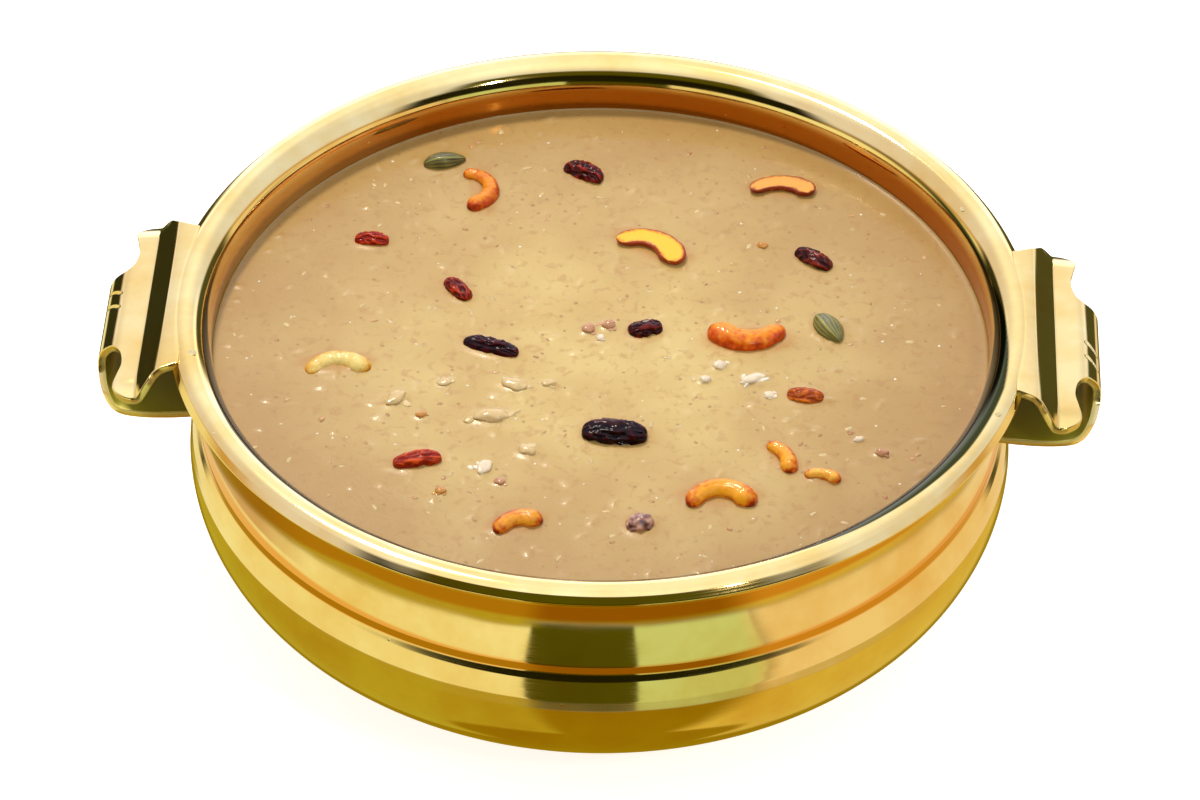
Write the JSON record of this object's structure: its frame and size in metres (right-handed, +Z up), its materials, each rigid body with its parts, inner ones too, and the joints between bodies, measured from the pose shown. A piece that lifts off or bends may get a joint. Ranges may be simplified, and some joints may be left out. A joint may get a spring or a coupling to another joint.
{
  "type": "palada payasam",
  "caption": "Milk and rice-flake pudding with fried cashews, raisins and cardamom pods, in a round-bellied brass bowl with two curled strip handles.",
  "frame": {"origin": "centre of the bowl's flat base, on its underside", "axes": "+X through the two handles, +Z up along the bowl's axis, -Y towards the side the picture looks from"},
  "size_m": [0.3008, 0.26, 0.0947],
  "materials": {
    "brass": "cast and polished, soft mirror gloss",
    "payasam": "thick creamy pudding, wet",
    "cardamom": "ribbed dry husk, wetted",
    "cashew": "fried in ghee, glossy",
    "raisin": "wrinkled, swollen and glossy",
    "nut": "broken nut, coated in pudding"
  },
  "bodies": {
    "root": {"bowl": "brass", "payasam": "payasam", "cardamom_back": "cardamom", "cardamom_side": "cardamom", "cashew_hook": "cashew", "cashew_tan": "cashew", "cashew_gold": "cashew", "cashew_curved": "cashew", "cashew_pale": "cashew", "cashew_broken": "cashew", "cashew_tip": "cashew", "cashew_front": "cashew", "cashew_red": "cashew", "raisin_back": "raisin", "raisin_left_back": "raisin", "raisin_right_back": "raisin", "raisin_left": "raisin", "raisin_middle": "raisin", "raisin_long": "raisin", "raisin_right": "raisin", "raisin_large": "raisin", "raisin_front": "raisin", "nut_lump": "nut"}
  },
  "joints": []
}
